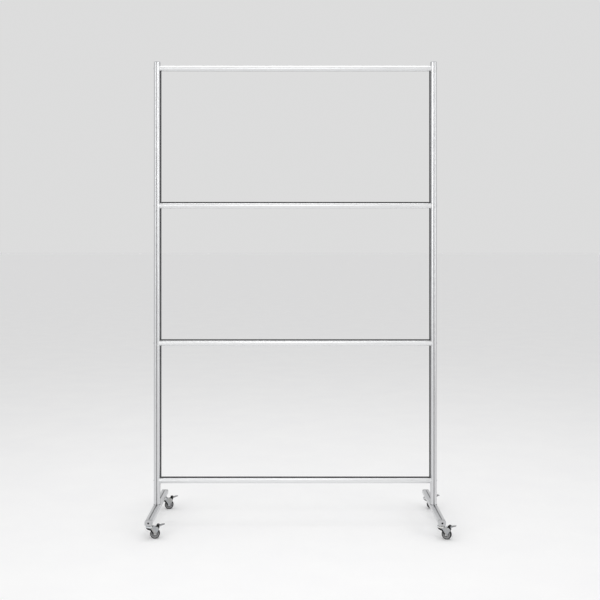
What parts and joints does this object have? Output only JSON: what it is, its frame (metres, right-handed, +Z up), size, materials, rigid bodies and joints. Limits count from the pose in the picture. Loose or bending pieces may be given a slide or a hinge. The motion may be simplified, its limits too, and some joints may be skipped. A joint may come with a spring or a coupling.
{
  "type": "background support frame",
  "caption": "Rolling background support: round grooved aluminium uprights joined by crossbars, black edge seals, grooved feet on braked swivel castors.",
  "frame": {"origin": "on the floor, below the middle of the part's bounding box; midway between the uprights is at X = -0.025, because the castors trail to +X", "axes": "+X to the right along the crossbars, +Y to the back along the feet, +Z up"},
  "size_m": [1.5979, 0.6055, 2.5],
  "materials": {
    "anodised_tube": "satin anodised, faint lengthwise extrusion lines",
    "bright_tube": "satin anodised, faint lengthwise extrusion lines",
    "cap_aluminium": "satin cast and anodised",
    "black_seal": "matte extruded rubber",
    "grey_plastic": "fine moulded grain",
    "plain_steel": "plain turned steel",
    "bright_zinc": "bright zinc plate",
    "zinc_steel": "pressed steel, satin zinc plate",
    "ball_steel": "ground bearing steel",
    "grey_nylon": "moulded nylon, fine grain",
    "grey_rubber": "matte dark grey rubber, scuffed tread",
    "black_plastic": "moulded nylon, fine grain"
  },
  "bodies": {
    "frame": {"upright_left": "anodised_tube", "upright_right": "anodised_tube", "crossbar_bottom": "bright_tube", "crossbar_lower": "bright_tube", "crossbar_upper": "bright_tube", "crossbar_top": "bright_tube", "foot_left": "anodised_tube", "foot_right": "anodised_tube", "foot_cap_front_left": "cap_aluminium", "foot_cap_back_left": "cap_aluminium", "foot_cap_front_right": "cap_aluminium", "foot_cap_back_right": "cap_aluminium", "edge_seals_lower_bay": "black_seal", "edge_seals_middle_bay": "black_seal", "edge_seals_upper_bay": "black_seal", "upright_caps": "grey_plastic", "crossbar_inserts": "plain_steel", "crossbar_bolts": "plain_steel", "bolt_plugs": "grey_plastic", "base_inserts": "plain_steel", "base_bolts": "plain_steel", "castor_cups": "bright_zinc", "castor_stem_front_left": "bright_zinc", "castor_stem_back_left": "bright_zinc", "castor_stem_front_right": "bright_zinc", "castor_stem_back_right": "bright_zinc"},
    "castor_front_left": {"castor_fork_front_left": "zinc_steel", "castor_balls_front_left": "ball_steel", "castor_axle_front_left": "bright_zinc"},
    "wheel_front_left": {"wheel_bush_front_left": "ball_steel", "wheel_core_front_left": "grey_nylon", "wheel_tyre_front_left": "grey_rubber"},
    "pedal_front_left": {"brake_cam_front_left": "black_plastic", "brake_lever_front_left": "zinc_steel"},
    "castor_back_left": {"castor_fork_back_left": "zinc_steel", "castor_balls_back_left": "ball_steel", "castor_axle_back_left": "bright_zinc"},
    "wheel_back_left": {"wheel_bush_back_left": "ball_steel", "wheel_core_back_left": "grey_nylon", "wheel_tyre_back_left": "grey_rubber"},
    "pedal_back_left": {"brake_cam_back_left": "black_plastic", "brake_lever_back_left": "zinc_steel"},
    "castor_front_right": {"castor_fork_front_right": "zinc_steel", "castor_balls_front_right": "ball_steel", "castor_axle_front_right": "bright_zinc"},
    "wheel_front_right": {"wheel_bush_front_right": "ball_steel", "wheel_core_front_right": "grey_nylon", "wheel_tyre_front_right": "grey_rubber"},
    "pedal_front_right": {"brake_cam_front_right": "black_plastic", "brake_lever_front_right": "zinc_steel"},
    "castor_back_right": {"castor_fork_back_right": "zinc_steel", "castor_balls_back_right": "ball_steel", "castor_axle_back_right": "bright_zinc"},
    "wheel_back_right": {"wheel_bush_back_right": "ball_steel", "wheel_core_back_right": "grey_nylon", "wheel_tyre_back_right": "grey_rubber"},
    "pedal_back_right": {"brake_cam_back_right": "black_plastic", "brake_lever_back_right": "zinc_steel"}
  },
  "joints": [
    {"name": "swivel_front_left", "type": "hinge", "parent": "frame", "child": "castor_front_left", "pos_m": [-0.775, -0.261, 0.0665], "axis": [0, 0, 1], "continuous": true},
    {"name": "roll_front_left", "type": "hinge", "parent": "castor_front_left", "child": "wheel_front_left", "pos_m": [-0.74602, -0.25999, 0.025], "axis": [-0.0349, 0.9994, 0], "continuous": true},
    {"name": "brake_front_left", "type": "hinge", "parent": "castor_front_left", "child": "pedal_front_left", "pos_m": [-0.73502, -0.2596, 0.056], "axis": [-0.0349, 0.9994, 0], "range_deg": [0, 18]},
    {"name": "swivel_back_left", "type": "hinge", "parent": "frame", "child": "castor_back_left", "pos_m": [-0.775, 0.261, 0.0665], "axis": [0, 0, 1], "continuous": true},
    {"name": "roll_back_left", "type": "hinge", "parent": "castor_back_left", "child": "wheel_back_left", "pos_m": [-0.74607, 0.26302, 0.025], "axis": [-0.0698, 0.9976, 0], "continuous": true},
    {"name": "brake_back_left", "type": "hinge", "parent": "castor_back_left", "child": "pedal_back_left", "pos_m": [-0.7351, 0.26379, 0.056], "axis": [-0.0698, 0.9976, 0], "range_deg": [0, 18]},
    {"name": "swivel_front_right", "type": "hinge", "parent": "frame", "child": "castor_front_right", "pos_m": [0.725, -0.261, 0.0665], "axis": [0, 0, 1], "continuous": true},
    {"name": "roll_front_right", "type": "hinge", "parent": "castor_front_right", "child": "wheel_front_right", "pos_m": [0.75106, -0.27371, 0.025], "axis": [0.4384, 0.8988, 0], "continuous": true},
    {"name": "brake_front_right", "type": "hinge", "parent": "castor_front_right", "child": "pedal_front_right", "pos_m": [0.76095, -0.27853, 0.056], "axis": [0.4384, 0.8988, 0], "range_deg": [0, 18]},
    {"name": "swivel_back_right", "type": "hinge", "parent": "frame", "child": "castor_back_right", "pos_m": [0.725, 0.261, 0.0665], "axis": [0, 0, 1], "continuous": true},
    {"name": "roll_back_right", "type": "hinge", "parent": "castor_back_right", "child": "wheel_back_right", "pos_m": [0.75258, 0.26996, 0.025], "axis": [-0.309, 0.9511, 0], "continuous": true},
    {"name": "brake_back_right", "type": "hinge", "parent": "castor_back_right", "child": "pedal_back_right", "pos_m": [0.76304, 0.27336, 0.056], "axis": [-0.309, 0.9511, 0], "range_deg": [0, 18]}
  ]
}
